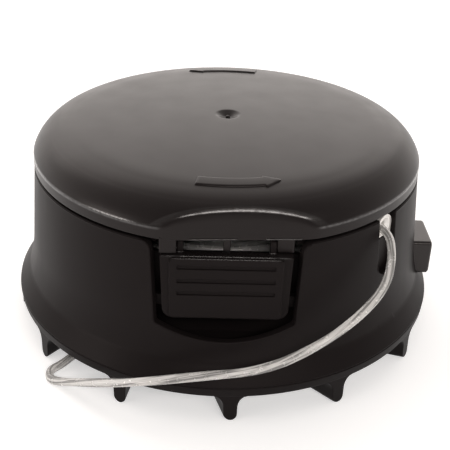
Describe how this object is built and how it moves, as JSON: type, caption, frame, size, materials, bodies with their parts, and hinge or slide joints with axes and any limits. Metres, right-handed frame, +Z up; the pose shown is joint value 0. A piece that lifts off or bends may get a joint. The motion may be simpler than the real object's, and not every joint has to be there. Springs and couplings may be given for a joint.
{
  "type": "trimmer head",
  "caption": "Line trimmer spool head with a domed snap-off cap, press latches, finned skirt, metal eyelet and a length of cutting line",
  "frame": {"origin": "on the spin axis, at the height of the fan blade tips that the head stands on", "axes": "+Z up along the spin axis to the cap, -Y toward the front latch, +X toward the side lug"},
  "size_m": [0.1056, 0.1099, 0.0505],
  "materials": {
    "drum_plastic": "satin",
    "fan_plastic": "satin",
    "cap_plastic": "satin",
    "tab_plastic": "satin",
    "spool_plastic": "satin",
    "line_nylon": "gloss",
    "eyelet_metal": "polished",
    "bush_steel": "turned",
    "screw_steel": "zinc plated",
    "spring_steel": "bare",
    "washer_steel": "bare",
    "lever_plastic": "natural",
    "weight_steel": "bare"
  },
  "bodies": {
    "head": {"housing": "drum_plastic", "fan": "fan_plastic", "fan_screw_1": "screw_steel", "fan_screw_2": "screw_steel", "fan_screw_3": "screw_steel", "shaft_bushing": "bush_steel", "cap": "cap_plastic", "eyelet": "eyelet_metal", "trimmer_line": "line_nylon", "thrust_washer": "washer_steel", "spring_washer": "spring_steel", "lever_pivot_pin": "screw_steel", "lever_clip": "spring_steel", "lever_spring": "spring_steel", "latch_spring_front": "spring_steel", "latch_spring_rear": "spring_steel"},
    "front_latch": {"latch_tab_front": "tab_plastic"},
    "rear_latch": {"latch_tab_rear": "tab_plastic"},
    "spool": {"spool": "spool_plastic", "line_winding": "line_nylon"},
    "feed_lever": {"feed_lever": "lever_plastic", "lever_weight": "weight_steel"}
  },
  "joints": [
    {"name": "front_latch_press", "type": "hinge", "parent": "head", "child": "front_latch", "pos_m": [0, -0.0426, 0.0387], "axis": [1, 0, 0], "range_deg": [0, 6.5], "stiffness_Nm_per_rad": 1, "deforming": ["latch_spring_front"]},
    {"name": "rear_latch_press", "type": "hinge", "parent": "head", "child": "rear_latch", "pos_m": [0, 0.0426, 0.0387], "axis": [-1, 0, 0], "range_deg": [0, 6.5], "stiffness_Nm_per_rad": 1, "deforming": ["latch_spring_rear"]},
    {"name": "spool_turn", "type": "hinge", "parent": "head", "child": "spool", "pos_m": [0, 0, 0.03], "axis": [0, 0, 1], "range_deg": [0, 45]},
    {"name": "feed_lever_swing", "type": "hinge", "parent": "head", "child": "feed_lever", "pos_m": [0.0362, -0.01925, 0.016], "axis": [0, 0, -1], "range_deg": [0, 10], "stiffness_Nm_per_rad": 0.2, "deforming": ["lever_spring"]}
  ]
}
